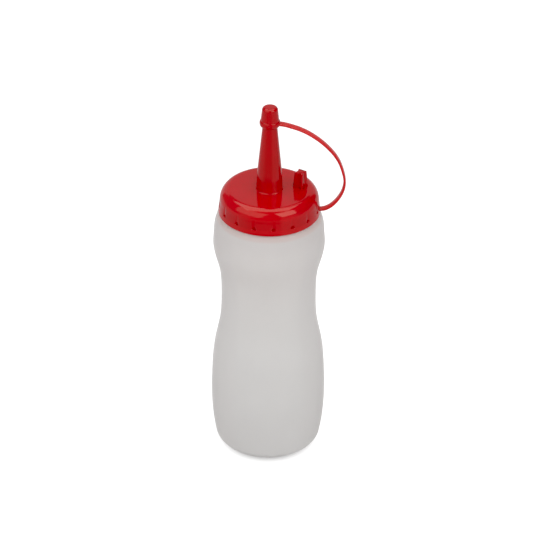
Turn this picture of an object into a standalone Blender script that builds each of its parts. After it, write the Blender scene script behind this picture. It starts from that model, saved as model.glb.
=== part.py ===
"""Squeeze bottle: a waisted, translucent bottle under a red screw closure.

The closure is one moulding: a domed screw cap with a tall dispensing nozzle, a ribbed peg,
and a strap that tethers the tip cap, which sits over the end of the nozzle.

Frame: metres, +Z up along the bottle's axis. The origin is the centre of the base, where the
bottle stands. +X is the side the strap loops out to and -Y is the front.
"""

import math

import bmesh
import bpy
import numpy as np
from mathutils import Matrix, Vector

MM = 0.001

# Shared dimensions
TURN_STEPS = 48
TOUCH_GAP = 0.3 * MM

# Bottle: outside radius of the side wall at a few heights, base to shoulder
SIDE_WALL = (
    (0.0, 29.4),
    (13.6, 31.7),
    (31.7, 33.0),
    (50.9, 32.6),
    (67.9, 31.0),
    (83.8, 28.0),
    (99.6, 27.2),
    (113.0, 27.6),
    (121.0, 28.9),
    (128.0, 30.8),
    (135.0, 31.9),
    (142.0, 31.5),
    (148.0, 31.0),
    (154.8, 28.7),
)
SIDE_RINGS = 20
RIM_HEIGHT = 155.1 * MM
BASE_ROUND_UP = 6.8 * MM
BASE_ROUND_IN = 11.2 * MM
SHOULDER_ROUND_UP = 2.2 * MM
SHOULDER_ROUND_IN = 1.45 * MM
NECK_RADIUS = 25.6 * MM
NECK_HEIGHT = 10.4 * MM
WALL = 1.1 * MM

# Closure, with heights above the rim of its skirt
RIM_RADIUS = 29.0 * MM
SKIRT_TOP_RADIUS = 28.14 * MM
SKIRT_HEIGHT = 7.7 * MM
TOP_RADIUS = 22.2 * MM
TOP_HEIGHT = 15.0 * MM
CLOSURE_WALL = 1.5 * MM
RIM_EDGE = 0.3 * MM

# Nozzle, a hollow cone on the middle of the closure
NOZZLE_FOOT_RADIUS = 7.85 * MM
NOZZLE_FLARE = 0.7 * MM
NOZZLE_TAPER = 0.0957
NOZZLE_HEIGHT = 64.8 * MM
NOZZLE_WALL = 1.3 * MM
NOZZLE_EDGE = 0.5 * MM

# Tip cap, over the end of the nozzle
BEAD_HEIGHT = 55.5 * MM
BEAD_THICKNESS = 2.8 * MM
BEAD_RADIUS = 5.75 * MM
TIP_FOOT_RADIUS = 5.15 * MM
TIP_HEAD_RADIUS = 4.45 * MM
TIP_HEIGHT = 67.0 * MM
TIP_ROUND = 1.8 * MM
TIP_STEPS = 32

# Grip flutes round the skirt
FLUTES = 16
FLUTE_RADIUS = 1.9 * MM
FLUTE_CIRCLE = 29.6 * MM
FLUTE_LOW = 3.3 * MM
FLUTE_HIGH = 12.0 * MM
FLUTE_TURN = math.radians(5.0)
FLUTE_SIDES = 16

# Peg that parks the tip cap: four ribs in a cross
PEG_PLACE = (17.5 * MM, 2.2 * MM)
PEG_TURN = math.radians(6.0)
PEG_FOOT_REACH = 4.35 * MM
PEG_HEAD_REACH = 3.3 * MM
PEG_RIB = 1.9 * MM
PEG_HEIGHT = 9.4 * MM
PEG_EDGE = 0.35 * MM

# Strap: its middle line from the skirt to the bead, as (out, up from the rim)
STRAP_ROUTE = (
    (28.0, 1.4),
    (30.0, 1.5),
    (32.6, 2.3),
    (36.4, 5.2),
    (39.6, 9.5),
    (41.8, 14.6),
    (42.4, 20.0),
    (41.4, 25.6),
    (38.7, 33.1),
    (33.2, 40.9),
    (24.4, 48.7),
    (15.1, 53.7),
    (8.5, 56.1),
    (4.9, 56.8),
)
STRAP_SECTIONS = 44
STRAP_WIDTH = 4.2 * MM
STRAP_ROOT_WIDTH = 3.8 * MM
STRAP_BEAD_WIDTH = 2.6 * MM
STRAP_ROOT_TAPER = 8.0 * MM
STRAP_BEAD_TAPER = 10.0 * MM
STRAP_THICKNESS = 1.2 * MM
STRAP_EDGE = 0.35 * MM


def clear_scene():
    """Remove whatever objects the file holds."""
    for old in list(bpy.data.objects):
        bpy.data.objects.remove(old)


def plastic(name, colour, roughness):
    """A Principled material of one colour."""
    material = bpy.data.materials.new(name)
    material.use_nodes = True
    shader = material.node_tree.nodes["Principled BSDF"]
    shader.inputs["Base Color"].default_value = (*colour, 1.0)
    shader.inputs["Roughness"].default_value = roughness
    shader.inputs["Metallic"].default_value = 0.0
    return material


def add_object(name, mesh):
    """Link a mesh into the scene under its own name."""
    made = bpy.data.objects.new(name, mesh)
    bpy.context.scene.collection.objects.link(made)
    return made


def natural_spline(knots, values):
    """A function of the knots that runs smoothly through the values."""
    knots = np.asarray(knots, float)
    values = np.asarray(values, float)
    steps = np.diff(knots)
    slopes = np.diff(values) / steps
    count = len(knots)
    system = np.eye(count)
    right = np.zeros(count)
    for i in range(1, count - 1):
        system[i, i - 1 : i + 2] = steps[i - 1], 2 * (steps[i - 1] + steps[i]), steps[i]
        right[i] = 6 * (slopes[i] - slopes[i - 1])
    bends = np.linalg.solve(system, right)

    def at(x):
        i = int(np.clip(np.searchsorted(knots, x) - 1, 0, count - 2))
        h = steps[i]
        a = (knots[i + 1] - x) / h
        b = 1 - a
        curve = ((a**3 - a) * bends[i] + (b**3 - b) * bends[i + 1]) * h * h / 6
        return float(a * values[i] + b * values[i + 1] + curve)

    return at


def arc(centre, reach, start, end, steps):
    """Points on an upright ellipse round the centre, angles in degrees."""
    angles = [math.radians(start + (end - start) * k / steps) for k in range(steps + 1)]
    return [(centre[0] + reach[0] * math.cos(a), centre[1] + reach[1] * math.sin(a)) for a in angles]


def turned(name, profile, steps, closed):
    """A solid of revolution from (radius, height) points that run down its outer side."""
    verts = [(radius, 0.0, height) for radius, height in profile]
    edges = [(k, k + 1) for k in range(len(verts) - 1)]
    if closed:
        edges.append((len(verts) - 1, 0))
    mesh = bpy.data.meshes.new(name)
    mesh.from_pydata(verts, edges, [])
    made = add_object(name, mesh)
    screw = made.modifiers.new("turn", "SCREW")
    screw.steps = steps
    screw.render_steps = steps
    screw.use_merge_vertices = True
    screw.merge_threshold = 0.00001
    return made


def solid_from_bmesh(name, shape):
    """Turn a bmesh into an object with its faces pointing out."""
    bmesh.ops.recalc_face_normals(shape, faces=shape.faces)
    mesh = bpy.data.meshes.new(name)
    shape.to_mesh(mesh)
    shape.free()
    return add_object(name, mesh)


def bottle_profile():
    """Outside of the bottle from the top of the neck to the middle of the base."""
    wall_radius = natural_spline([z * MM for z, r in SIDE_WALL], [r * MM for z, r in SIDE_WALL])
    shoulder = RIM_HEIGHT - TOUCH_GAP
    side_top = shoulder - SHOULDER_ROUND_UP
    points = [(NECK_RADIUS, RIM_HEIGHT + NECK_HEIGHT), (NECK_RADIUS, shoulder)]
    for angle in range(90, -1, -18):
        rise = side_top + SHOULDER_ROUND_UP * math.sin(math.radians(angle))
        inset = SHOULDER_ROUND_IN * (1 - math.cos(math.radians(angle)))
        points.append((wall_radius(rise) - inset, rise))
    for k in range(1, SIDE_RINGS):
        height = side_top + (BASE_ROUND_UP - side_top) * k / SIDE_RINGS
        points.append((wall_radius(height), height))
    for angle in range(0, 91, 15):
        rise = BASE_ROUND_UP * (1 - math.sin(math.radians(angle)))
        inset = BASE_ROUND_IN * (1 - math.cos(math.radians(angle)))
        points.append((wall_radius(rise) - inset, rise))
    points.append((0.0, 0.0))
    return points


def build_bottle(material):
    """Blown bottle: an open-mouthed shell of even wall."""
    bottle = turned("bottle", bottle_profile(), TURN_STEPS, closed=False)
    wall = bottle.modifiers.new("wall", "SOLIDIFY")
    wall.thickness = WALL
    wall.offset = -1.0
    wall.use_even_offset = True
    bottle.data.materials.append(material)
    return bottle


def nozzle_radius(height):
    """Outside radius of the nozzle at a height above the rim."""
    return NOZZLE_FOOT_RADIUS - NOZZLE_TAPER * (height - TOP_HEIGHT)


def closure_profile():
    """Closed section through one side of the cap and nozzle, outer side first."""
    tip = nozzle_radius(NOZZLE_HEIGHT)
    foot = TOP_HEIGHT + NOZZLE_FLARE
    shoulder_reach = (SKIRT_TOP_RADIUS - TOP_RADIUS, TOP_HEIGHT - SKIRT_HEIGHT)
    under = TOP_HEIGHT - CLOSURE_WALL
    inner_reach = (shoulder_reach[0] - 0.3 * CLOSURE_WALL, shoulder_reach[1] - CLOSURE_WALL)
    inner_edge = SKIRT_TOP_RADIUS - CLOSURE_WALL - inner_reach[0]
    bore_tip = tip - NOZZLE_WALL
    bore_foot = nozzle_radius(under) - NOZZLE_WALL
    points = [(tip - NOZZLE_EDGE, NOZZLE_HEIGHT), (tip, NOZZLE_HEIGHT - NOZZLE_EDGE)]
    points.append((nozzle_radius(BEAD_HEIGHT), BEAD_HEIGHT))
    points.append((nozzle_radius(0.5 * (BEAD_HEIGHT + foot)), 0.5 * (BEAD_HEIGHT + foot)))
    flare_middle = (nozzle_radius(foot) + NOZZLE_FLARE, foot)
    points += arc(flare_middle, (NOZZLE_FLARE, NOZZLE_FLARE), 180, 270, 3)
    points += arc((TOP_RADIUS, SKIRT_HEIGHT), shoulder_reach, 90, 0, 8)
    points += [(RIM_RADIUS, RIM_EDGE), (RIM_RADIUS - RIM_EDGE, 0.0)]
    points.append((RIM_RADIUS - CLOSURE_WALL, 0.0))
    points += arc((inner_edge, SKIRT_HEIGHT), inner_reach, 0, 90, 6)
    points += [(bore_foot, under), (bore_tip, NOZZLE_HEIGHT)]
    return [(radius, height + RIM_HEIGHT) for radius, height in points]


def tip_cap_profile():
    """Closed section through one side of the tip cap, with the socket for the nozzle."""
    head = TIP_HEIGHT - TIP_ROUND
    bead_top = BEAD_HEIGHT + BEAD_THICKNESS
    bead_middle = 0.5 * (BEAD_HEIGHT + bead_top)
    bead_swell = BEAD_RADIUS - TIP_FOOT_RADIUS
    socket_top = NOZZLE_HEIGHT + TOUCH_GAP
    points = [(0.0, TIP_HEIGHT)]
    head_centre = (TIP_HEAD_RADIUS - TIP_ROUND, head)
    points += arc(head_centre, (TIP_ROUND, TIP_ROUND), 90, 0, 4)
    bead_reach = (bead_swell + 0.3 * MM, 0.5 * BEAD_THICKNESS)
    points += arc((TIP_FOOT_RADIUS - 0.3 * MM, bead_middle), bead_reach, 75, -75, 6)
    points.append((TIP_FOOT_RADIUS - 0.6 * MM, BEAD_HEIGHT))
    points.append((nozzle_radius(BEAD_HEIGHT) + TOUCH_GAP, BEAD_HEIGHT))
    points.append((nozzle_radius(socket_top) + TOUCH_GAP, socket_top))
    points.append((0.0, socket_top))
    return [(radius, height + RIM_HEIGHT) for radius, height in points]


def build_flute_cutters(collection):
    """One upright round cutter for each grip flute, set round the skirt.

    The skirt widens downwards, so a flute starts from nothing on the shoulder and is widest and
    deepest at its flat lower end.
    """
    shape = bmesh.new()
    bmesh.ops.create_cone(
        shape,
        cap_ends=True,
        segments=FLUTE_SIDES,
        radius1=FLUTE_RADIUS,
        radius2=FLUTE_RADIUS,
        depth=FLUTE_HIGH - FLUTE_LOW,
    )
    middle = RIM_HEIGHT + 0.5 * (FLUTE_LOW + FLUTE_HIGH)
    first = solid_from_bmesh("flute_cutter", shape)
    for k in range(FLUTES):
        cutter = first if k == 0 else add_object(f"flute_cutter_{k}", first.data)
        angle = FLUTE_TURN + 2 * math.pi * k / FLUTES
        cutter.location = (
            FLUTE_CIRCLE * math.sin(angle),
            -FLUTE_CIRCLE * math.cos(angle),
            middle,
        )
        cutter.rotation_euler.z = angle
        cutter.hide_render = True
        cutter.display_type = "WIRE"
        collection.objects.link(cutter)


def build_peg(collection):
    """Two tapered slabs that cross, with softened upright edges."""
    foot = RIM_HEIGHT + TOP_HEIGHT - 0.5 * CLOSURE_WALL
    height = PEG_HEIGHT + 0.5 * CLOSURE_WALL
    for k in range(2):
        shape = bmesh.new()
        bmesh.ops.create_cube(shape, size=1.0)
        for vert in shape.verts:
            reach = PEG_HEAD_REACH if vert.co.z > 0 else PEG_FOOT_REACH
            vert.co.x *= 2 * reach
            vert.co.y *= PEG_RIB
            vert.co.z = height if vert.co.z > 0 else 0.0
        outer_edges = [e for e in shape.edges if max(v.co.z for v in e.verts) > 0]
        bmesh.ops.bevel(shape, geom=outer_edges, offset=PEG_EDGE, segments=1, affect="EDGES")
        slab = solid_from_bmesh(f"peg_slab_{k}", shape)
        slab.location = (*PEG_PLACE, foot)
        slab.rotation_euler.z = PEG_TURN + 0.5 * math.pi * k
        collection.objects.link(slab)


def strap_width(along, total):
    """Width of the strap, which narrows where it meets the skirt and the bead."""
    from_root = min(along / STRAP_ROOT_TAPER, 1.0)
    from_bead = min((total - along) / STRAP_BEAD_TAPER, 1.0)
    root = STRAP_ROOT_WIDTH + (STRAP_WIDTH - STRAP_ROOT_WIDTH) * math.sin(0.5 * math.pi * from_root)
    bead = STRAP_BEAD_WIDTH + (STRAP_WIDTH - STRAP_BEAD_WIDTH) * math.sin(0.5 * math.pi * from_bead)
    return min(root, bead)


def build_strap(collection):
    """Ribbon swept along its middle line, flat across the y axis."""
    route = np.array([(x * MM, z * MM + RIM_HEIGHT) for x, z in STRAP_ROUTE])
    along = np.concatenate([[0.0], np.cumsum(np.linalg.norm(np.diff(route, axis=0), axis=1))])
    x_at = natural_spline(along, route[:, 0])
    z_at = natural_spline(along, route[:, 1])
    total = float(along[-1])
    probe = 0.1 * MM
    shape = bmesh.new()
    rings = []
    for k in range(STRAP_SECTIONS + 1):
        s = total * k / STRAP_SECTIONS
        middle = Vector((x_at(s), 0.0, z_at(s)))
        ahead = Vector((x_at(s + probe) - x_at(s - probe), 0.0, z_at(s + probe) - z_at(s - probe)))
        out = ahead.cross(Vector((0.0, 1.0, 0.0))).normalized()
        half_width = 0.5 * strap_width(s, total)
        half_depth = 0.5 * STRAP_THICKNESS
        corners = [
            (half_width, half_depth - STRAP_EDGE),
            (half_width - STRAP_EDGE, half_depth),
            (STRAP_EDGE - half_width, half_depth),
            (-half_width, half_depth - STRAP_EDGE),
            (-half_width, STRAP_EDGE - half_depth),
            (STRAP_EDGE - half_width, -half_depth),
            (half_width - STRAP_EDGE, -half_depth),
            (half_width, STRAP_EDGE - half_depth),
        ]
        ring = [shape.verts.new(middle + Vector((0.0, y, 0.0)) + out * d) for y, d in corners]
        rings.append(ring)
    for low, high in zip(rings, rings[1:]):
        for k in range(len(low)):
            n = (k + 1) % len(low)
            shape.faces.new((low[k], low[n], high[n], high[k]))
    shape.faces.new(rings[0])
    shape.faces.new(rings[-1])
    collection.objects.link(solid_from_bmesh("strap", shape))


def join_with(target, collection, operation):
    """Union or cut the target with every object of a collection, then drop those objects."""
    joint = target.modifiers.new(operation.lower(), "BOOLEAN")
    joint.operation = operation
    joint.solver = "EXACT"
    joint.operand_type = "COLLECTION"
    joint.collection = collection
    joint.use_self = False
    bpy.context.view_layer.objects.active = target
    for modifier in list(target.modifiers):
        bpy.ops.object.modifier_apply(modifier=modifier.name)
    for used in list(collection.objects):
        bpy.data.objects.remove(used)
    bpy.data.collections.remove(collection)


def build_closure(material):
    """Cap, nozzle, peg, strap and tip cap in one moulding, with flutes cut round the skirt."""
    closure = turned("closure", closure_profile(), TURN_STEPS, closed=True)
    cutters = bpy.data.collections.new("flutes")
    bpy.context.scene.collection.children.link(cutters)
    build_flute_cutters(cutters)
    join_with(closure, cutters, "DIFFERENCE")
    details = bpy.data.collections.new("details")
    bpy.context.scene.collection.children.link(details)
    build_peg(details)
    build_strap(details)
    details.objects.link(turned("tip_cap", tip_cap_profile(), TIP_STEPS, closed=False))
    join_with(closure, details, "UNION")
    closure.data.materials.clear()
    closure.data.materials.append(material)
    return closure


def shade(made):
    """Smooth shading with crisp corners."""
    mesh = made.data
    mesh.shade_smooth()
    mesh.set_sharp_from_angle(angle=math.radians(35))


clear_scene()
frosted = plastic("frosted_plastic", (0.78, 0.77, 0.76), 0.45)
red = plastic("red_plastic", (0.62, 0.01, 0.01), 0.2)
build_bottle(frosted)
shade(build_closure(red))
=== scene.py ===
"""Looks for the squeeze bottle: a frosted bottle under a glossy red closure.

The frame is in metres, +Z up along the bottle's axis, with the base at z = 0. The strap loops
out to +X and -Y is the front.
"""

import math

import bmesh
import bpy
import numpy as np
from mathutils import Matrix, Vector


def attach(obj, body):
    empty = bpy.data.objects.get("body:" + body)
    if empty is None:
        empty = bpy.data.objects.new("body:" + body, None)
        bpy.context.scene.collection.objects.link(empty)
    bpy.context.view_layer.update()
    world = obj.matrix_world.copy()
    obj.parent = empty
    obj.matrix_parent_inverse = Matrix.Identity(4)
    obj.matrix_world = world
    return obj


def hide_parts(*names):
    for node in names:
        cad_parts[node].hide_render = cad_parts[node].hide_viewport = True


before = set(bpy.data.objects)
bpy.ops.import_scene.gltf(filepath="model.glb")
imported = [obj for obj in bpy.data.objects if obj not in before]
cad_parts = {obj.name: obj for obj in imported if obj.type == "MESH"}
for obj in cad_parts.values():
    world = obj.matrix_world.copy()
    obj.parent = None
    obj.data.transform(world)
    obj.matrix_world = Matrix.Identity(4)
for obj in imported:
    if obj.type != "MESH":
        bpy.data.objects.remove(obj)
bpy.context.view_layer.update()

MM = 0.001

# Bottle: the height and radius of its side in mm, from the base up, and its other sizes
SIDE_WALL = (
    (0.0, 29.4),
    (13.6, 31.7),
    (31.7, 33.0),
    (50.9, 32.6),
    (67.9, 31.0),
    (83.8, 28.0),
    (99.6, 27.2),
    (113.0, 27.6),
    (121.0, 28.9),
    (128.0, 30.8),
    (135.0, 31.9),
    (142.0, 31.5),
    (148.0, 31.0),
    (154.8, 28.7),
)
SIDE_RINGS = 90
BASE_ROUND_UP = 6.8 * MM
BASE_ROUND_IN = 11.2 * MM
BASE_ANGLES = range(0, 91, 5)
SHOULDER_ROUND_UP = 2.2 * MM
SHOULDER_ROUND_IN = 1.45 * MM
SHOULDER_ANGLES = range(87, -1, -6)
NECK_RADIUS = 25.6 * MM
NECK_HEIGHT = 10.4 * MM
NECK_ROOT = 0.6 * MM
NECK_LIP = 0.4 * MM
WALL = 1.1 * MM

# Closure: the height of its rim, from which its other heights are counted, the gap where its
# pieces and the bottle touch, and the sizes of the cap
RIM_HEIGHT = 155.1 * MM
TOUCH_GAP = 0.3 * MM
RIM_RADIUS = 29.0 * MM
SKIRT_TOP_RADIUS = 28.14 * MM
SKIRT_HEIGHT = 7.7 * MM
TOP_RADIUS = 22.2 * MM
TOP_HEIGHT = 15.0 * MM
CLOSURE_WALL = 1.5 * MM
INNER_ROUND_INSET = 0.45 * MM
RIM_EDGE = 0.6 * MM

NOZZLE_FOOT_RADIUS = 8.02 * MM
NOZZLE_FLARE = 2.0 * MM
NOZZLE_FLARE_SWEEP = 40
NOZZLE_TAPER = 0.0957
NOZZLE_EASE_HEIGHT = 13.0 * MM
NOZZLE_EASING = 0.003 / MM
NOZZLE_HEIGHT = 64.8 * MM
NOZZLE_WALL = 1.3 * MM
NOZZLE_EDGE = 0.5 * MM

BEAD_HEIGHT = 55.25 * MM
BEAD_THICKNESS = 3.6 * MM
BEAD_RADIUS = 5.85 * MM
BEAD_BITE = 0.3 * MM
BEAD_SWEEP = 75
TIP_FOOT_RADIUS = 5.27 * MM
TIP_HEAD_RADIUS = 4.5 * MM
TIP_HEIGHT = 67.0 * MM
TIP_ROUND = 1.8 * MM
TIP_LIP = 0.6 * MM

# Flutes: each is the side of a cylinder with its axis on the circle, leaning in as it rises.
# The columns of the mesh within so many pitches of a flute's middle lie inside it, and powers
# crowd them towards its edges and spread them beyond
FLUTES = 16
FLUTE_RADIUS = 3.4 * MM
FLUTE_CIRCLE = 31.65 * MM
FLUTE_LEAN = 0.055
FLUTE_LOW = 3.3 * MM
FLUTE_STEP = 0.12 * MM
FLUTE_TURN = math.radians(5.0)
FLUTE_EDGE = 0.25 * MM
FLUTE_LEAST_ANGLE = 0.012
FLUTE_RUN_OUT = 3
COLUMNS_INSIDE = 0.25
COLUMN_CROWDING = 1.2
COLUMN_SPREADING = 1.5
DIMPLE_RADIUS = 1.3 * MM
DIMPLE_DEPTH = 0.75 * MM
DIMPLE_HEIGHT = 3.8 * MM
DIMPLE_FLAT = 0.25

# Peg: its tips reach out from its middle, and its sides are hollow by a share of that reach
PEG_PLACE = (17.5 * MM, 2.2 * MM)
PEG_TURN = math.radians(13.0)
PEG_FOOT_REACH = 4.35 * MM
PEG_HEAD_REACH = 3.5 * MM
PEG_TIP = 0.65 * MM
PEG_HOLLOW = 0.31
PEG_HEIGHT = 9.4 * MM
PEG_EDGE = 0.45 * MM
PEG_SIDE_STEPS = 10
PEG_HEAD_ANGLES = range(0, 91, 18)

# Strap: how far out from the axis and how high above the rim its middle runs, in mm
STRAP_ROUTE = (
    (28.0, 1.4),
    (30.0, 1.5),
    (32.6, 2.3),
    (36.4, 5.2),
    (39.6, 9.5),
    (41.8, 14.6),
    (42.4, 20.0),
    (41.4, 25.6),
    (38.7, 33.1),
    (33.2, 40.9),
    (24.4, 48.7),
    (15.1, 53.7),
    (12.0, 54.75),
    (8.5, 55.8),
    (4.9, 56.4),
)
STRAP_SECTIONS = 160
STRAP_WIDTH = 4.2 * MM
STRAP_ROOT_WIDTH = 3.8 * MM
STRAP_ROOT_TAPER = 8.0 * MM
STRAP_THICKNESS = 1.35 * MM
STRAP_EDGE = 0.6 * MM

# Columns of the turned pieces, how near to each other corners are joined, a height and radius
# that no flute gets to on a piece without them, and the turn between faces that counts as crisp
BOTTLE_STEPS = 192
CLOSURE_STEPS = 768
TIP_STEPS = 96
JOIN_DISTANCE = 0.002 * MM
OUT_OF_REACH = 1.0
CRISP_ANGLE = math.radians(40)

# Both plastics: how bright the cloud between their two tones is, and how they bend light
CLOUDY = (0.3, 0.7)
PLASTIC_IOR = 1.5

# Red plastic: two close tones each for the cap and the strap, the strap's lighter than the cap's
# as painted light, and the painted light and shade over the cap, which change with the height
# above its rim and with the distance from a painted lit patch on the front of its top, in metres
CAP_REDS = ((0.50, 0.0002, 0.0065), (0.53, 0.0004, 0.0095))
# Painted light: the strap's reds are a lighter copy of the cap's red plastic
STRAP_LIT_REDS = ((0.61, 0.012, 0.018), (0.65, 0.014, 0.021))
CAP_ROUGHNESS = 0.06
STRAP_ROUGHNESS = 0.25
RED_ROUGHNESS_SPREAD = 0.03
RED_GLOSS_TINT = (1.0, 1.0, 0.78)
# Painted light: a lit patch on the front of the cap's top, brighter by a share that fades with
# distance
LIT_PATCH_CENTRE = (0.0, -0.020, 0.1675)
LIT_PATCH_FADES = (0.008, 0.021)
LIT_PATCH_LIFT = 0.09
# Painted shade: the skirt is darker from just above its lowest edge up to the shoulder, with its
# lowest edge and its top left bright
SKIRT_SHADING_FROM = (0.003, 0.0036)
SKIRT_SHADING_ENDS = (0.007, 0.0105)
SKIRT_PAINTED_DARKNESS = 0.1
# Painted shade: the nozzle, the tip cap and the peg's head are darker
NOZZLE_SHADING_FROM = (0.017, 0.02)
NOZZLE_PAINTED_DARKNESS = 0.09

# Frosted plastic: its colours, and where one gives way to the next, by height in metres and,
# for the sides, by how far they face away. The sides and the shoulder under the closure get
# painted shade, and a painted pink of the red closure's light warms it upwards and in a thin
# band just under the rim
MILKY_TONES = ((0.93, 0.93, 0.925), (0.95, 0.95, 0.945))
LOW_TINGE = (0.98, 0.985, 0.983)
HIGH_PAINTED_PINK = (1.0, 0.993, 0.983)
TINGE_CHANGES = (0.06, 0.13)
SIDE_PAINTED_SHADE = (0.912, 0.91, 0.905)
SIDE_SHADE_BEGINS = (0.31, 0.41)
SHOULDER_PAINTED_SHADE = (0.88, 0.875, 0.868)
SHOULDER_SHADE_BEGINS = (0.14, 0.152)
RIM_PAINTED_PINK = (0.86, 0.735, 0.71)
RIM_PINK_FROM = (0.1508, 0.1524)
GLOW_THROUGH = (0.93, 0.91, 0.9)
GLOW_SHARE = 0.35
FROSTED_ROUGHNESS = 0.26
FROSTED_ROUGHNESS_SPREAD = 0.06
FROSTED_ALPHA = 0.65

# Camera: where it looks, how far off and how steeply down, and its lens in pixels of the picture
CAMERA_TARGET = Vector((-1.36, 0.0, 117.58)) * MM
CAMERA_DISTANCE = 1.7
CAMERA_ELEVATION = math.radians(31.92)
CAMERA_ROLL = math.radians(0.39)
PICTURE_WIDTH = 533
FOCAL_PIXELS = 2959
SENSOR_WIDTH = 36.0
CAMERA_CLIP = (0.05, 50.0)

# What shows as black in red, green and blue
BLACK_LEVEL = (0.0, 0.008, 0.008)

# Studio: a panel's place, what it faces, its width and depth, the glow that shines on gloss
# and the glow that lights the plastic
PANELS = (
    ("overhead", (-0.16, 0.385, 1.67), (-0.16, 0.385, 0.0), 1.92, 1.47, 1.79, 1.35),
    ("left_box", (-0.97, -0.81, 1.15), None, 1.9, 1.3, 0.97, 0.38),
    ("right_box", (0.85, -0.82, 1.09), None, 1.0, 1.0, 2.19, 0.76),
    ("back_wall", (0.0, 2.2, 0.97), (0.0, 0.0, 0.97), 3.7, 1.85, 0.43, 0.15),
    ("front_fill", (0.0, -1.5, 1.0), None, 1.8, 1.5, 0.0, 0.7),
)
PANEL_AIM = Vector((0.0, 0.0, 0.165))

# Where the floor and the room brighten to the right, by bearing from straight ahead in radians
RIGHT_BEGINS = (0.36, 0.52)

# Floor: what it gives the plastic and what it shows, by the distance from the axis in metres,
# with painted shadow near and under the bottle
FLOOR_RADIUS = 4.0
FLOOR_DROP = 0.2 * MM
FLOOR_GREYS = (0.36, 0.37)
FLOOR_LIGHT = 0.9
FLOOR_SEEN = 0.85
UNDER_ENDS = (0.022, 0.03)
UNDER_SHADE = 0.78
CONTACT_SHADE = 0.6
NEAR_ENDS = (0.08, 0.45)
NEAR_SHADE = 0.19

# Floor in the gloss: dark ahead, with a strip across, and bright to both sides and behind, by
# the same distance and the same bearing
FLOOR_DARK = 0.06
FLOOR_RISE = 0.06
FLOOR_RISES = (0.26, 0.3)
STRIP_GLOW = 0.2
STRIP_BEGINS = (0.445, 0.47)
STRIP_LOSS = 0.35
STRIP_FADES = (0.5, 0.58)
FLOOR_SIDE_GLOW = 0.48
FLOOR_LEFT_BEGINS = (0.5, 1.3)
FLOOR_BACK_GLOW = 0.2
FLOOR_BACK_BEGINS = (0.3, 0.9)
TINY_AREA = 1e-6

# Room: its even light, which falls off behind, and its glow in the gloss, low at both sides
ROOM_LIGHT = 0.53
ROOM_BACK_SHADE = 0.3
ROOM_BACK_BEGINS = (-0.4, 0.4)
ROOM_GLOSS = 0.1
ROOM_GLOSS_LEAN = 0.05
ROOM_SIDE_GLOW = 0.3
ROOM_LEFT_BEGINS = (0.4, 1.1)
ROOM_LOW_ENDS = (0.2, 0.3)
ROOM_AHEAD_ENDS = (1.0, 1.4)


# ---------------------------------------------------------------- shapes


def natural_spline(knots, values):
    """A function of the knots that runs smoothly through the values."""
    knots = np.asarray(knots, float)
    values = np.asarray(values, float)
    steps = np.diff(knots)
    slopes = np.diff(values) / steps
    count = len(knots)
    system = np.eye(count)
    right = np.zeros(count)
    for i in range(1, count - 1):
        system[i, i - 1 : i + 2] = steps[i - 1], 2 * (steps[i - 1] + steps[i]), steps[i]
        right[i] = 6 * (slopes[i] - slopes[i - 1])
    bends = np.linalg.solve(system, right)

    def at(x):
        i = int(np.clip(np.searchsorted(knots, x) - 1, 0, count - 2))
        h = steps[i]
        a = (knots[i + 1] - x) / h
        b = 1 - a
        curve = ((a**3 - a) * bends[i] + (b**3 - b) * bends[i + 1]) * h * h / 6
        return float(a * values[i] + b * values[i + 1] + curve)

    return at


def arc(centre, reach, start, end, steps):
    """Points on an upright ellipse round the centre, angles in degrees."""
    angles = [math.radians(start + (end - start) * k / steps) for k in range(steps + 1)]
    across, up = reach
    return [(centre[0] + across * math.cos(a), centre[1] + up * math.sin(a)) for a in angles]


def line(start, end, steps):
    """Points along a straight run, without its start."""
    return [
        (start[0] + (end[0] - start[0]) * k / steps, start[1] + (end[1] - start[1]) * k / steps)
        for k in range(1, steps + 1)
    ]


def bottle_outline():
    """Outside of the bottle from the mouth down to the middle of the base."""
    wall_radius = natural_spline([z * MM for z, r in SIDE_WALL], [r * MM for z, r in SIDE_WALL])
    shoulder = RIM_HEIGHT - TOUCH_GAP
    side_top = shoulder - SHOULDER_ROUND_UP
    mouth = RIM_HEIGHT + NECK_HEIGHT
    lip_centre = (NECK_RADIUS - NECK_LIP, mouth - NECK_LIP)
    root_centre = (NECK_RADIUS + NECK_ROOT, shoulder + NECK_ROOT)
    points = arc(lip_centre, (NECK_LIP, NECK_LIP), 90, 0, steps=4)
    points += line(points[-1], (NECK_RADIUS, shoulder + NECK_ROOT), steps=8)
    points += arc(root_centre, (NECK_ROOT, NECK_ROOT), 180, 270, steps=4)[1:]
    for angle in SHOULDER_ANGLES:
        rise = side_top + SHOULDER_ROUND_UP * math.sin(math.radians(angle))
        inset = SHOULDER_ROUND_IN * (1 - math.cos(math.radians(angle)))
        points.append((wall_radius(rise) - inset, rise))
    for k in range(1, SIDE_RINGS):
        height = side_top + (BASE_ROUND_UP - side_top) * k / SIDE_RINGS
        points.append((wall_radius(height), height))
    for angle in BASE_ANGLES:
        rise = BASE_ROUND_UP * (1 - math.sin(math.radians(angle)))
        inset = BASE_ROUND_IN * (1 - math.cos(math.radians(angle)))
        points.append((wall_radius(rise) - inset, rise))
    return points + line(points[-1], (0.0, 0.0), steps=6)


def nozzle_radius(height):
    """Outside radius of the nozzle at a height above the rim, with less taper near its foot."""
    above = height - TOP_HEIGHT
    low = max(NOZZLE_EASE_HEIGHT - above, 0.0)
    return NOZZLE_FOOT_RADIUS - NOZZLE_TAPER * above - NOZZLE_EASING * low * low


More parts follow.
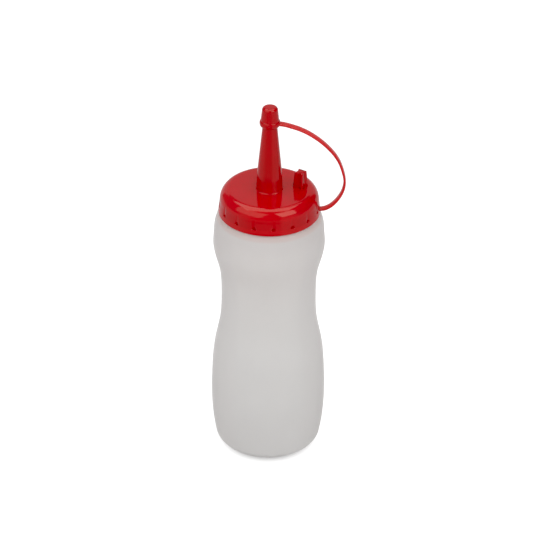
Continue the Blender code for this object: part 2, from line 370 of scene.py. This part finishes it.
def closure_outline():
    """Closed section through one side of the cap and nozzle, outer side first."""
    tip = nozzle_radius(NOZZLE_HEIGHT)
    eased = TOP_HEIGHT + NOZZLE_EASE_HEIGHT
    foot = TOP_HEIGHT + NOZZLE_FLARE * math.sin(math.radians(NOZZLE_FLARE_SWEEP))
    under = TOP_HEIGHT - CLOSURE_WALL
    outer_reach = (SKIRT_TOP_RADIUS - TOP_RADIUS, TOP_HEIGHT - SKIRT_HEIGHT)
    inner_reach = (outer_reach[0] - INNER_ROUND_INSET, outer_reach[1] - CLOSURE_WALL)
    inner_edge = SKIRT_TOP_RADIUS - CLOSURE_WALL - inner_reach[0]
    head_centre = (tip - NOZZLE_EDGE, NOZZLE_HEIGHT - NOZZLE_EDGE)
    points = arc(head_centre, (NOZZLE_EDGE, NOZZLE_EDGE), 90, 0, steps=4)
    points += line(points[-1], (nozzle_radius(eased), eased), steps=6)
    ease_rings = 10
    for k in range(1, ease_rings + 1):
        height = eased + (foot - eased) * k / ease_rings
        points.append((nozzle_radius(height), height))
    flare_centre = (nozzle_radius(foot) + NOZZLE_FLARE, foot)
    flare_end = 180 + NOZZLE_FLARE_SWEEP
    points += arc(flare_centre, (NOZZLE_FLARE, NOZZLE_FLARE), 180, flare_end, steps=10)[1:]
    points += line(points[-1], (TOP_RADIUS, TOP_HEIGHT), steps=4)
    points += arc((TOP_RADIUS, SKIRT_HEIGHT), outer_reach, 90, 0, steps=30)[1:]
    slope = (RIM_RADIUS - SKIRT_TOP_RADIUS) / (SKIRT_HEIGHT - RIM_EDGE)
    for height, steps in ((FLUTE_LOW + FLUTE_STEP, 24), (FLUTE_LOW, 1), (RIM_EDGE, 3)):
        widening = slope * (SKIRT_HEIGHT - height)
        points += line(points[-1], (SKIRT_TOP_RADIUS + widening, height), steps)
    rim_centre = (RIM_RADIUS - RIM_EDGE, RIM_EDGE)
    points += arc(rim_centre, (RIM_EDGE, RIM_EDGE), 0, -90, steps=5)[1:]
    points += line(points[-1], (RIM_RADIUS - CLOSURE_WALL, 0.0), steps=1)
    points += arc((inner_edge, SKIRT_HEIGHT), inner_reach, 0, 90, steps=8)
    points += line(points[-1], (nozzle_radius(under) - NOZZLE_WALL, under), steps=1)
    points += line(points[-1], (tip - NOZZLE_WALL, NOZZLE_HEIGHT), steps=2)
    return [(radius, height + RIM_HEIGHT) for radius, height in points]


def tip_cap_outline():
    """Section through one side of the tip cap, with the socket for the nozzle."""
    head = TIP_HEIGHT - TIP_ROUND
    bead_centre = (TIP_FOOT_RADIUS - BEAD_BITE, BEAD_HEIGHT + 0.5 * BEAD_THICKNESS)
    bead_reach = (BEAD_RADIUS - TIP_FOOT_RADIUS + BEAD_BITE, 0.5 * BEAD_THICKNESS)
    socket_top = NOZZLE_HEIGHT + TOUCH_GAP
    points = [(0.0, TIP_HEIGHT)]
    points += arc((TIP_HEAD_RADIUS - TIP_ROUND, head), (TIP_ROUND, TIP_ROUND), 90, 0, steps=12)
    bead = arc(bead_centre, bead_reach, BEAD_SWEEP, -BEAD_SWEEP, steps=14)
    points += line(points[-1], bead[0], steps=12)
    points += bead[1:]
    points.append((TIP_FOOT_RADIUS - TIP_LIP, BEAD_HEIGHT))
    points.append((nozzle_radius(BEAD_HEIGHT) + TOUCH_GAP, BEAD_HEIGHT))
    points += line(points[-1], (nozzle_radius(socket_top) + TOUCH_GAP, socket_top), steps=4)
    points.append((0.0, socket_top))
    return [(radius, height + RIM_HEIGHT) for radius, height in points]


# ---------------------------------------------------------------- node trees


class Wire:
    """A socket that takes part in arithmetic, where each step adds a Math node."""

    def __init__(self, net, socket):
        self.net = net
        self.socket = socket

    def maths(self, operation, *values):
        return self.net.node("ShaderNodeMath", {"operation": operation}, dict(enumerate(values)))

    def __add__(self, other):
        return self.maths("ADD", self, other)

    __radd__ = __add__

    def __sub__(self, other):
        return self.maths("SUBTRACT", self, other)

    def __rsub__(self, other):
        return self.maths("SUBTRACT", other, self)

    def __mul__(self, other):
        return self.maths("MULTIPLY", self, other)

    __rmul__ = __mul__

    def __truediv__(self, other):
        return self.maths("DIVIDE", self, other)

    def __rtruediv__(self, other):
        return self.maths("DIVIDE", other, self)

    def __pow__(self, other):
        return self.maths("POWER", self, other)

    def __abs__(self):
        return self.maths("ABSOLUTE", self)

    def __gt__(self, other):
        return self.maths("GREATER_THAN", self, other)

    def least(self, other):
        """The smaller of the two."""
        return self.maths("MINIMUM", self, other)

    def most(self, other):
        """The larger of the two."""
        return self.maths("MAXIMUM", self, other)

    def between(self, low, high):
        """0 below low, 1 above high and a smooth rise in between."""
        settings = {"interpolation_type": "SMOOTHSTEP"}
        return self.net.node("ShaderNodeMapRange", settings, {"Value": self, 1: low, 2: high})


class Net:
    """Builds the nodes of one tree."""

    def __init__(self, tree):
        self.tree = tree

    def node(self, kind, settings=None, sockets=None, output=0):
        """A node of this type, with its settings made before its sockets; gives one output."""
        made = self.tree.nodes.new(kind)
        for name, value in (settings or {}).items():
            setattr(made, name, value)
        for name, value in (sockets or {}).items():
            if isinstance(value, Wire):
                self.tree.links.new(value.socket, made.inputs[name])
            else:
                made.inputs[name].default_value = value
        return Wire(self, made.outputs[output]) if made.outputs else None

    def also(self, wire, output):
        """Another output of the node that this one comes from."""
        return Wire(self, wire.socket.node.outputs[output])

    def mix(self, share, first, second, blend="MIX"):
        """A colour between two others."""
        settings = {"data_type": "RGBA", "blend_type": blend}
        return self.node("ShaderNodeMix", settings, {0: share, 6: first, 7: second}, output=2)

    def noise(self, place, scale, detail):
        """Noise over a place."""
        sockets = {"Vector": place, "Scale": scale, "Detail": detail}
        return self.node("ShaderNodeTexNoise", None, sockets)

    def part(self, vector, axis):
        """One coordinate of a vector."""
        return self.node("ShaderNodeSeparateXYZ", None, {0: vector}, output=axis)

    def vector(self, x, y, z=0.0):
        """A vector of its three coordinates."""
        return self.node("ShaderNodeCombineXYZ", None, {0: x, 1: y, 2: z})

    def bump(self, height, strength, distance):
        """A normal that follows a fine relief."""
        sockets = {"Height": height, "Strength": strength, "Distance": distance}
        return self.node("ShaderNodeBump", None, sockets)


def opaque(colour):
    """The colour with an alpha of one."""
    return (*colour, 1.0)


def turning_tree():
    """Turns an outline round the z axis, with upright grip flutes pressed into its widest part.

    A flute is the side of a cylinder that leans in a little, so it is deepest at its low end,
    where a round dimple sits, and runs out where the skin draws in. The columns of the mesh
    keep to the flute's edges.
    """
    tree = bpy.data.node_groups.new("turning", "GeometryNodeTree")
    sizes = (
        ("Geometry", "NodeSocketGeometry"),
        ("Steps", "NodeSocketInt"),
        ("Flutes", "NodeSocketInt"),
        ("Flute turn", "NodeSocketFloat"),
        ("Flute radius", "NodeSocketFloat"),
        ("Flute circle", "NodeSocketFloat"),
        ("Flute lean", "NodeSocketFloat"),
        ("Flute low", "NodeSocketFloat"),
        ("Flute edge", "NodeSocketFloat"),
        ("Dimple radius", "NodeSocketFloat"),
        ("Dimple depth", "NodeSocketFloat"),
        ("Dimple height", "NodeSocketFloat"),
        ("Finish", "NodeSocketMaterial"),
    )
    for name, kind in sizes:
        tree.interface.new_socket(name=name, in_out="INPUT", socket_type=kind)
    tree.interface.new_socket(name="Geometry", in_out="OUTPUT", socket_type="NodeSocketGeometry")
    net = Net(tree)
    outline = net.node("NodeGroupInput")
    steps = net.also(outline, "Steps")
    flutes = net.also(outline, "Flutes")
    flute = net.also(outline, "Flute radius")
    low = net.also(outline, "Flute low")

    # The outline repeated as the columns of a grid
    count = net.node("GeometryNodeAttributeDomainSize", {"component": "MESH"}, {0: outline})
    sides = {"Vertices X": steps + 1, "Vertices Y": count}
    grid = net.node("GeometryNodeMeshGrid", None, sides)
    index = net.node("GeometryNodeInputIndex")
    column = index.maths("FLOOR", (index + 0.5) / count)
    place = index - column * count
    position = net.node("GeometryNodeInputPosition")
    settings = {"data_type": "FLOAT_VECTOR", "domain": "POINT"}
    sources = {0: outline, 1: position, 2: place}
    point = net.node("GeometryNodeSampleIndex", settings, sources)
    radius = net.part(point, "X")
    height = net.also(radius, "Z")

    # The angle of each column, crowded towards the nearest flute and its edges
    lean = (height - low) * net.also(outline, "Flute lean")
    circle = net.also(outline, "Flute circle") - lean
    reach = (radius**2.0 + circle**2.0 - flute**2.0) / (2 * radius * circle)
    edge = reach.maths("ARCCOSINE", reach.least(1.0)).most(FLUTE_LEAST_ANGLE)
    pitch = 2 * math.pi / flutes
    turns = column / steps * flutes
    nearest = turns.maths("ROUND", turns)
    off = turns - nearest
    share = abs(off) / COLUMNS_INSIDE
    inside = 1 - (1 - share.least(1.0)) ** COLUMN_CROWDING
    outside = (share - 1).most(0.0) ** COLUMN_SPREADING
    aside = inside * edge + outside * (0.5 * pitch - edge)
    angle = net.also(outline, "Flute turn") + pitch * nearest + aside * off.maths("SIGN", off)

    # The flute, its softened edge and its dimple
    across = circle * aside.maths("SINE", aside)
    beyond = FLUTE_RUN_OUT * (across - flute).most(0.0)
    depth = (flute**2.0 - across**2.0).most(0.0) ** 0.5
    cut_radius = circle * aside.maths("COSINE", aside) - depth + beyond
    softness = net.also(outline, "Flute edge")
    softened = radius.maths("SMOOTH_MIN", radius, cut_radius, softness)
    rise = height - net.also(outline, "Dimple height")
    spread = (across**2.0 + rise**2.0) ** 0.5 / net.also(outline, "Dimple radius")
    hollow = (1 - spread.between(DIMPLE_FLAT, 1.0)) * net.also(outline, "Dimple depth")
    dimple = hollow * (radius > circle - flute)
    pressed = radius - (radius - softened + dimple) * (height > low)
    side_x = pressed * angle.maths("SINE", angle)
    side_y = pressed * angle.maths("COSINE", angle) * -1.0
    moved = net.vector(side_x, side_y, height)

    # The skin, joined at its seam and on the axis
    placed = {"Geometry": grid, "Position": moved}
    shaped = net.node("GeometryNodeSetPosition", None, placed)
    joined = {"Geometry": shaped, "Distance": JOIN_DISTANCE}
    merged = net.node("GeometryNodeMergeByDistance", None, joined)
    smooth = net.node("GeometryNodeSetShadeSmooth", None, {"Geometry": merged})
    real = net.node("GeometryNodeRealizeInstances", None, {"Geometry": smooth})
    finished = {"Geometry": real, "Material": net.also(outline, "Finish")}
    done = net.node("GeometryNodeSetMaterial", None, finished)
    net.node("NodeGroupOutput", None, {"Geometry": done})
    return tree


# ---------------------------------------------------------------- pieces


def add_object(name, data):
    """Link a mesh, a lamp or a camera into the scene under its own name."""
    made = bpy.data.objects.new(name, data)
    bpy.context.scene.collection.objects.link(made)
    return made


def turn(name, tree, outline, steps, finish, flute_sizes=None):
    """Turn an outline into a plain mesh piece with the geometry tree."""
    mesh = bpy.data.meshes.new(name + "_outline")
    mesh.from_pydata([(radius, 0.0, height) for radius, height in outline], [], [])
    made = add_object(name, mesh)
    turning = made.modifiers.new("turning", "NODES")
    turning.node_group = tree
    values = {
        "Steps": steps,
        "Flutes": FLUTES,
        "Flute radius": FLUTE_RADIUS,
        "Flute circle": OUT_OF_REACH,
        "Flute low": OUT_OF_REACH,
        "Dimple radius": DIMPLE_RADIUS,
        "Finish": finish,
    }
    values.update(flute_sizes or {})
    for item in tree.interface.items_tree:
        if item.in_out == "INPUT" and item.name in values:
            turning[item.identifier] = values[item.name]
    ready = made.evaluated_get(bpy.context.evaluated_depsgraph_get())
    plain = bpy.data.meshes.new_from_object(ready)
    made.modifiers.remove(turning)
    made.data = plain
    bpy.data.meshes.remove(mesh)
    plain.name = name
    face_outwards(made)
    return made


def face_outwards(made):
    """Point the faces out and mark the crisp corners."""
    shape = bmesh.new()
    shape.from_mesh(made.data)
    bmesh.ops.recalc_face_normals(shape, faces=shape.faces)
    shape.to_mesh(made.data)
    shape.free()
    made.data.shade_smooth()
    made.data.set_sharp_from_angle(angle=CRISP_ANGLE)


def skin_piece(name, rings, finish):
    """A closed piece whose skin runs from ring to ring of points."""
    shape = bmesh.new()
    rows = [[shape.verts.new(point) for point in ring] for ring in rings]
    for low, high in zip(rows, rows[1:]):
        for k in range(len(low)):
            n = (k + 1) % len(low)
            shape.faces.new((low[k], low[n], high[n], high[k]))
    shape.faces.new(rows[0])
    shape.faces.new(rows[-1])
    bmesh.ops.triangulate(shape, faces=[face for face in shape.faces if len(face.verts) > 4])
    mesh = bpy.data.meshes.new(name)
    shape.to_mesh(mesh)
    shape.free()
    made = add_object(name, mesh)
    made.data.materials.append(finish)
    face_outwards(made)
    return made


def peg_section(reach, half):
    """Outline of the peg at one height: four slender tips with hollow sides between them."""
    tip = arc((reach - half, 0.0), (half, half), -90, 90, steps=6)
    start = Vector((reach - half, half))
    end = Vector((half, reach - half))
    hollow = Vector((PEG_HOLLOW, PEG_HOLLOW)) * reach
    points = []
    for quarter in range(4):
        turned = Matrix.Rotation(PEG_TURN + 0.5 * math.pi * quarter, 2)
        side = list(tip)
        for step in range(1, PEG_SIDE_STEPS):
            t = step / PEG_SIDE_STEPS
            side.append((1 - t) ** 2 * start + 2 * t * (1 - t) * hollow + t * t * end)
        points += [turned @ Vector(point) for point in side]
    return points


def build_peg(finish):
    """Tapered star-shaped peg on the flat top, rounded over at its head."""
    sunk = -0.5 * CLOSURE_WALL
    levels = [(sunk, PEG_FOOT_REACH, PEG_TIP), (0.0, PEG_FOOT_REACH, PEG_TIP)]
    shoulder = PEG_HEIGHT - PEG_EDGE
    for angle in PEG_HEAD_ANGLES:
        rise = PEG_EDGE * math.sin(math.radians(angle))
        inset = PEG_EDGE * (1 - math.cos(math.radians(angle)))
        levels.append((shoulder + rise, PEG_HEAD_REACH - inset, PEG_TIP - inset))
    rings = []
    for height, reach, half in levels:
        place = Vector((*PEG_PLACE, RIM_HEIGHT + TOP_HEIGHT + height))
        rings.append([place + point.to_3d() for point in peg_section(reach, half)])
    return skin_piece("peg", rings, finish)


def strap_width(along):
    """Width of the strap, which is a little less where it meets the skirt."""
    share = math.sin(0.5 * math.pi * min(along / STRAP_ROOT_TAPER, 1.0))
    return STRAP_ROOT_WIDTH + (STRAP_WIDTH - STRAP_ROOT_WIDTH) * share


def rounded_section(half_width, half_depth, edge):
    """Corners of a flat section whose edges are rounded."""
    points = []
    for side_y, side_d, start in ((1, 1, 0), (-1, 1, 90), (-1, -1, 180), (1, -1, 270)):
        centre = (side_y * (half_width - edge), side_d * (half_depth - edge))
        points += arc(centre, (edge, edge), start, start + 90, steps=3)
    return points


def build_strap(finish):
    """Ribbon swept along its middle line, flat across the y axis."""
    route = np.array([(x * MM, z * MM + RIM_HEIGHT) for x, z in STRAP_ROUTE])
    along = np.concatenate([[0.0], np.cumsum(np.linalg.norm(np.diff(route, axis=0), axis=1))])
    x_at = natural_spline(along, route[:, 0])
    z_at = natural_spline(along, route[:, 1])
    total = float(along[-1])
    probe = 0.1 * MM
    across = Vector((0.0, 1.0, 0.0))
    rings = []
    for k in range(STRAP_SECTIONS + 1):
        s = total * k / STRAP_SECTIONS
        before, after = s - probe, s + probe
        ahead = Vector((x_at(after) - x_at(before), 0.0, z_at(after) - z_at(before)))
        out = ahead.cross(across).normalized()
        middle = Vector((x_at(s), 0.0, z_at(s)))
        section = rounded_section(0.5 * strap_width(s), 0.5 * STRAP_THICKNESS, STRAP_EDGE)
        rings.append([middle + Vector((0.0, y, 0.0)) + out * d for y, d in section])
    return skin_piece("strap", rings, finish)


def build_bottle(tree, finish):
    """Blown bottle with its wall turned inwards from the outline."""
    made = turn("bottle_wall", tree, bottle_outline(), BOTTLE_STEPS, finish)
    wall = made.modifiers.new("wall", "SOLIDIFY")
    wall.thickness = WALL
    wall.offset = -1.0
    wall.use_even_offset = True
    return made


def build_closure(tree, finish):
    """Cap, nozzle and flutes in one turned piece."""
    flute_sizes = {
        "Flute turn": FLUTE_TURN,
        "Flute circle": FLUTE_CIRCLE,
        "Flute lean": FLUTE_LEAN,
        "Flute low": RIM_HEIGHT + FLUTE_LOW + 0.5 * FLUTE_STEP,
        "Flute edge": FLUTE_EDGE,
        "Dimple depth": DIMPLE_DEPTH,
        "Dimple height": RIM_HEIGHT + DIMPLE_HEIGHT,
    }
    outline = closure_outline()
    return turn("closure_body", tree, outline + outline[:1], CLOSURE_STEPS, finish, flute_sizes)


# ---------------------------------------------------------------- materials


def new_finish(name):
    """An empty node material and the net that builds it."""
    finish = bpy.data.materials.new(name)
    finish.use_nodes = True
    finish.node_tree.nodes.clear()
    return finish, Net(finish.node_tree)


def red_plastic(name, tones, rough, painted_share):
    """Glossy moulded red plastic with a faint ripple, between two close tones.

    The last argument says how much of the painted light and shade over the cap shows.
    """
    finish, net = new_finish(name)
    place = net.node("ShaderNodeTexCoord", output="Object")
    cloud = net.noise(place, scale=70.0, detail=2.0)
    ripple = net.noise(place, scale=420.0, detail=1.0)
    grain = net.noise(place, scale=2600.0, detail=2.0)
    rise = net.part(place, "Z") - RIM_HEIGHT
    ends = {0: place, 1: LIT_PATCH_CENTRE}
    front = net.node("ShaderNodeVectorMath", {"operation": "DISTANCE"}, ends, output="Value")
    # Painted light and shade: a darker skirt, a lit patch on the front of the top and a darker
    # nozzle
    side_shading = SKIRT_PAINTED_DARKNESS * rise.between(*SKIRT_SHADING_FROM)
    cap_side_shade = 1 - side_shading + SKIRT_PAINTED_DARKNESS * rise.between(*SKIRT_SHADING_ENDS)
    lit_patch = 1 + LIT_PATCH_LIFT - LIT_PATCH_LIFT * front.between(*LIT_PATCH_FADES)
    spout_shade = 1 - NOZZLE_PAINTED_DARKNESS * rise.between(*NOZZLE_SHADING_FROM)
    painted_shading = cap_side_shade * lit_patch * spout_shade
    plain = net.mix(cloud.between(*CLOUDY), *map(opaque, tones))
    colour = net.mix(painted_share, plain, net.vector(painted_shading, painted_shading, painted_shading), "MULTIPLY")
    roughness = rough + RED_ROUGHNESS_SPREAD * cloud + RED_ROUGHNESS_SPREAD * grain
    sockets = {
        "Base Color": colour,
        "Roughness": roughness,
        "Normal": net.bump(0.8 * ripple + 0.2 * grain, strength=0.12, distance=0.2 * MM),
        "IOR": PLASTIC_IOR,
        "Specular IOR Level": 0.5,
        "Specular Tint": opaque(RED_GLOSS_TINT),
    }
    shader = net.node("ShaderNodeBsdfPrincipled", None, sockets)
    net.node("ShaderNodeOutputMaterial", None, {"Surface": shader})
    return finish


def frosted_plastic():
    """Milky soft plastic that lets light through, with painted side shade and a painted pink of
    the red closure's light near its top.
    """
    finish, net = new_finish("frosted_plastic")
    place = net.node("ShaderNodeTexCoord", output="Object")
    height = net.part(place, "Z")
    cloud = net.noise(place, scale=45.0, detail=3.0)
    grain = net.noise(place, scale=1500.0, detail=3.0)

    # How far a spot of the side faces away, as if the side were upright, which sets the painted
    # shade at the sides
    level = net.vector(net.also(height, "X"), net.also(height, "Y"))
    outward = net.node("ShaderNodeVectorMath", {"operation": "NORMALIZE"}, {0: level})
    aims = {"Blend": 0.5, "Normal": outward}
    facing = net.node("ShaderNodeLayerWeight", None, aims, output="Facing")

    clouded = net.mix(cloud.between(*CLOUDY), *map(opaque, MILKY_TONES))
    # Faintly cool low down and warmer higher up, the warmth a painted pink for the red closure's
    # light
    cool_to_painted_pink = net.mix(height.between(*TINGE_CHANGES), opaque(LOW_TINGE), opaque(HIGH_PAINTED_PINK))
    colour = net.mix(1.0, clouded, cool_to_painted_pink, "MULTIPLY")
    # Painted shade at the sides and on the shoulder under the closure, and a painted pink band
    # just under the rim
    for share, painted_shading in (
        (facing.between(*SIDE_SHADE_BEGINS), SIDE_PAINTED_SHADE),
        (height.between(*SHOULDER_SHADE_BEGINS), SHOULDER_PAINTED_SHADE),
        (height.between(*RIM_PINK_FROM), RIM_PAINTED_PINK),
    ):
        colour = net.mix(share, colour, opaque(painted_shading))
    bump = net.bump(0.6 * cloud + 0.4 * grain, strength=0.15, distance=0.3 * MM)
    sockets = {
        "Base Color": colour,
        "Roughness": FROSTED_ROUGHNESS + FROSTED_ROUGHNESS_SPREAD * cloud,
        "Normal": bump,
        "IOR": PLASTIC_IOR,
        "Alpha": FROSTED_ALPHA,
    }
    skin = net.node("ShaderNodeBsdfPrincipled", None, sockets)
    glow = {"Color": opaque(GLOW_THROUGH), "Normal": bump}
    through = net.node("ShaderNodeBsdfTranslucent", None, glow)
    shader = net.node("ShaderNodeMixShader", None, {0: GLOW_SHARE, 1: skin, 2: through})
    net.node("ShaderNodeOutputMaterial", None, {"Surface": shader})
    return finish


def floor_finish():
    """White floor: bright to the eye with a soft faint shadow, and milder on the object."""
    finish, net = new_finish("white_floor")
    to_eye = net.node("ShaderNodeLightPath", output="Is Camera Ray")
    in_gloss = net.also(to_eye, "Is Glossy Ray")
    place = net.node("ShaderNodeTexCoord", output="Object")
    right = net.part(place, "X")
    behind = net.also(right, "Y")
    away = (right * right + behind * behind + TINY_AREA) ** 0.5
    bearing = right.maths("ARCTAN2", right, behind * -1.0)

    strip = away.between(*STRIP_BEGINS) - STRIP_LOSS * away.between(*STRIP_FADES)
    ahead = FLOOR_DARK + FLOOR_RISE * away.between(*FLOOR_RISES) + STRIP_GLOW * strip
    sides = bearing.between(*RIGHT_BEGINS) + (bearing * -1.0).between(*FLOOR_LEFT_BEGINS)
    back = FLOOR_BACK_GLOW * (behind / away).between(*FLOOR_BACK_BEGINS)
    gloss = ahead + (FLOOR_SIDE_GLOW - ahead) * sides + back

    # Painted shadow: the glow is lower near and under the bottle
    under = 1 - away.between(*UNDER_ENDS)
    farther = NEAR_SHADE * away.between(*NEAR_ENDS)
    near = FLOOR_LIGHT * (1 - NEAR_SHADE - UNDER_SHADE * under + farther)
    seen = FLOOR_SEEN * (1 - CONTACT_SHADE * under)
    glow = in_gloss * gloss + (1 - in_gloss) * near
    greys = [opaque((grey, grey, grey)) for grey in FLOOR_GREYS]
    sockets = {
        "Base Color": net.mix(net.noise(place, scale=3.0, detail=2.0), *greys),
        "Roughness": 0.9,
        "Specular IOR Level": 0.0,
        "Emission Color": seen,
        "Emission Strength": 1.0,
    }
    sheet = net.node("ShaderNodeBsdfPrincipled", None, sockets)
    lit = net.node("ShaderNodeEmission", None, {"Color": glow, "Strength": 1.0})
    shader = net.node("ShaderNodeMixShader", None, {0: to_eye, 1: lit, 2: sheet})
    net.node("ShaderNodeOutputMaterial", None, {"Surface": shader})
    return finish


# ---------------------------------------------------------------- studio


def add_floor():
    """Wide round floor just under the base."""
    shape = bmesh.new()
    bmesh.ops.create_circle(shape, cap_ends=True, segments=96, radius=FLOOR_RADIUS)
    bmesh.ops.translate(shape, verts=shape.verts, vec=(0.0, 0.0, -FLOOR_DROP))
    mesh = bpy.data.meshes.new("floor")
    shape.to_mesh(mesh)
    shape.free()
    floor = add_object("floor", mesh)
    floor.data.materials.append(floor_finish())


def add_panel(name, place, aim, width, depth, glow, on_gloss):
    """Soft rectangular lamp of an even glow, either shown in the gloss or lighting the plastic."""
    lamp = bpy.data.lights.new(name, "AREA")
    lamp.shape = "RECTANGLE"
    lamp.size = width
    lamp.size_y = depth
    lamp.energy = glow * math.pi * width * depth
    made = add_object(name, lamp)
    turned = (aim - place).to_track_quat("-Z", "Y")
    made.matrix_world = Matrix.LocRotScale(place, turned, None)
    made.visible_glossy = on_gloss
    made.visible_diffuse = not on_gloss
    made.visible_transmission = not on_gloss


def add_panels():
    """Overhead panel, two front softboxes, a pale wall behind and a plain light from the front."""
    for name, place, aim, width, depth, shine, fill in PANELS:
        place = Vector(place)
        faced = Vector(aim) if aim else PANEL_AIM
        add_panel(name + "_fill", place, faced, width, depth, fill, False)
        if shine:
            nearer = place + (faced - place).normalized() * MM
            add_panel(name + "_shine", nearer, faced, width, depth, shine, True)


def add_room():
    """The even light of the room, white to the eye and dark but for its sides in the gloss."""
    world = bpy.data.worlds.new("studio")
    world.use_nodes = True
    world.node_tree.nodes.clear()
    net = Net(world.node_tree)
    to_eye = net.node("ShaderNodeLightPath", output="Is Camera Ray")
    in_gloss = net.also(to_eye, "Is Glossy Ray")
    way = net.node("ShaderNodeTexCoord", output="Generated")
    right = net.part(way, "X")
    behind = net.also(right, "Y")
    height = net.also(right, "Z")
    bearing = right.maths("ARCTAN2", right, behind * -1.0)
    sides = bearing.between(*RIGHT_BEGINS) + (bearing * -1.0).between(*ROOM_LEFT_BEGINS)
    beside = 1 - abs(bearing).between(*ROOM_AHEAD_ENDS)
    low = (1 - height.between(*ROOM_LOW_ENDS)) * beside
    gloss = ROOM_GLOSS - ROOM_GLOSS_LEAN * right + ROOM_SIDE_GLOW * sides * low
    room = ROOM_LIGHT * (1 - ROOM_BACK_SHADE * behind.between(*ROOM_BACK_BEGINS))
    glow = in_gloss * gloss + (1 - in_gloss) * room
    sockets = {"Color": opaque((1.0, 1.0, 1.0)), "Strength": to_eye + (1 - to_eye) * glow}
    shader = net.node("ShaderNodeBackground", None, sockets)
    net.node("ShaderNodeOutputWorld", None, {"Surface": shader})
    bpy.context.scene.world = world


def set_view():
    """Plain colours, with the blacks of green and blue set a little deeper."""
    view = bpy.context.scene.view_settings
    view.view_transform = "Standard"
    view.use_curve_mapping = True
    view.curve_mapping.black_level = BLACK_LEVEL
    view.curve_mapping.update()


def add_camera():
    """Long lens from the front, looking down at the bottle."""
    lens = bpy.data.cameras.new("camera")
    lens.sensor_width = SENSOR_WIDTH
    lens.angle = 2 * math.atan(0.5 * PICTURE_WIDTH / FOCAL_PIXELS)
    lens.clip_start, lens.clip_end = CAMERA_CLIP
    eye = add_object("camera", lens)
    ahead = Vector((0.0, math.cos(CAMERA_ELEVATION), -math.sin(CAMERA_ELEVATION)))
    level = Vector((1.0, 0.0, 0.0))
    rise = level.cross(ahead)
    right = level * math.cos(CAMERA_ROLL) + rise * math.sin(CAMERA_ROLL)
    up = rise * math.cos(CAMERA_ROLL) - level * math.sin(CAMERA_ROLL)
    turned = Matrix((right, up, -ahead)).transposed().to_4x4()
    eye.matrix_world = Matrix.Translation(CAMERA_TARGET - ahead * CAMERA_DISTANCE) @ turned
    bpy.context.scene.camera = eye


def main():
    red = red_plastic("red_plastic", CAP_REDS, CAP_ROUGHNESS, painted_share=1.0)
    # The strap's lighter red is painted light, without the cap's painted light and shade
    lit_strap_red = red_plastic("thin_red_plastic", STRAP_LIT_REDS, STRAP_ROUGHNESS, painted_share=0.0)
    milky = frosted_plastic()
    tree = turning_tree()
    bottle = build_bottle(tree, milky)
    closure = build_closure(tree, red)
    tip = turn("tip_cap", tree, tip_cap_outline(), TIP_STEPS, red)
    strap = build_strap(lit_strap_red)
    peg = build_peg(red)
    add_floor()
    add_panels()
    add_room()
    set_view()
    add_camera()
    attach(bottle, "root")
    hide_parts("bottle")
    for piece in (closure, tip, strap, peg):
        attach(piece, "root")
    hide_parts("closure")


main()
